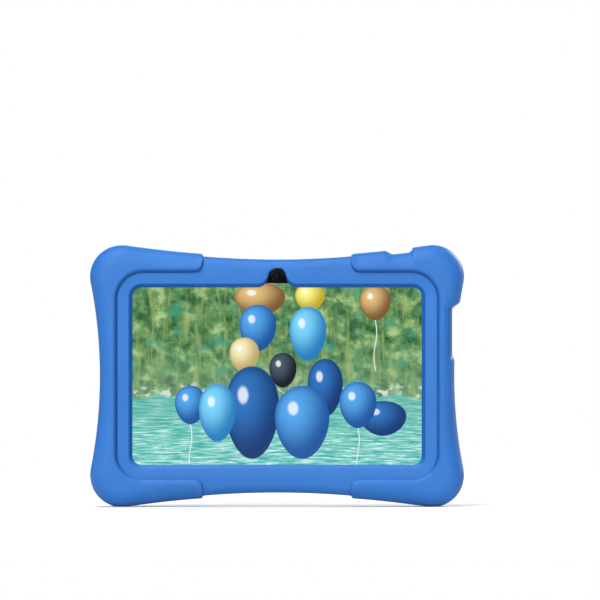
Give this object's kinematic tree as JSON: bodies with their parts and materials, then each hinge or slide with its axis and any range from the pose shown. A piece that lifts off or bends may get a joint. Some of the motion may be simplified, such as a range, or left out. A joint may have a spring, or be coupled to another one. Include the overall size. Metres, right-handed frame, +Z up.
{
  "type": "children's tablet computer in bumper case",
  "caption": "Small tablet with lit screen in a soft blue bumper case with thick side grips; a yellow ring handle folds and turns in a round recess at the back as grip and stand.",
  "frame": {"origin": "on the ground plane under the middle of the upright tablet, centred across its width and its thickness", "axes": "+X to the right as the screen is seen, +Y from the screen towards the back, +Z up the screen"},
  "size_m": [0.1944, 0.027, 0.136],
  "materials": {
    "case_blue": "satin moulded silicone",
    "grip_blue": "satin moulded silicone",
    "stand_blue": "fine moulded grain",
    "ring_yellow": "satin",
    "steel": "plain",
    "nylon": "plain",
    "black_plastic": "fine grain",
    "black_gloss": "polished",
    "screen_glass": "polished",
    "display": "lit picture",
    "white_sheet": "plain",
    "board": "solder mask",
    "battery_foil": "foil pouch",
    "brass": "plated",
    "lamp_amber": "clear lens"
  },
  "bodies": {
    "case": {"case_tray": "case_blue", "left_grip": "grip_blue", "right_grip": "grip_blue", "stand_cup": "stand_blue", "friction_washer": "nylon", "retaining_washer": "steel", "turntable_screw": "steel", "tablet_rear_cover": "black_plastic", "mid_frame": "steel", "cover_glass": "screen_glass", "display_panel": "display", "backlight_unit": "white_sheet", "main_board": "board", "shield_can": "steel", "battery": "battery_foil", "speaker": "black_plastic", "microphone": "steel", "usb_socket": "steel", "headphone_jack": "brass", "card_socket": "steel", "front_camera": "black_plastic", "rear_camera": "black_plastic", "rear_camera_glass": "screen_glass", "camera_trim": "black_gloss", "flash_lamp": "lamp_amber", "power_switch": "nylon", "volume_switch": "nylon", "frame_screw_1": "steel", "frame_screw_2": "steel", "frame_screw_3": "steel", "frame_screw_4": "steel"},
    "turntable": {"turntable": "stand_blue", "turntable_cap": "stand_blue", "hinge_bush_left": "nylon", "hinge_bush_right": "nylon"},
    "ring": {"ring_handle": "ring_yellow", "hinge_pin": "steel"},
    "power_button": {"power_button": "black_plastic"},
    "volume_rocker": {"volume_rocker": "black_plastic"}
  },
  "joints": [
    {"name": "turntable_spin", "type": "hinge", "parent": "case", "child": "turntable", "pos_m": [0, 0.0075, 0.0589], "axis": [0, 1, 0], "continuous": true},
    {"name": "ring_fold", "type": "hinge", "parent": "turntable", "child": "ring", "pos_m": [0, 0.0098, 0.0931], "axis": [1, 0, 0], "range_deg": [0, 90]},
    {"name": "power_press", "type": "slide", "parent": "case", "child": "power_button", "axis": [0, 0, -1], "range_m": [0, 0.0004], "stiffness_N_per_m": 3000, "springref_m": -0.0002},
    {"name": "volume_rock", "type": "hinge", "parent": "case", "child": "volume_rocker", "pos_m": [0.065, -0.0048, 0.1215], "axis": [0, 1, 0], "range_deg": [-3, 3], "stiffness_Nm_per_rad": 0.12}
  ]
}
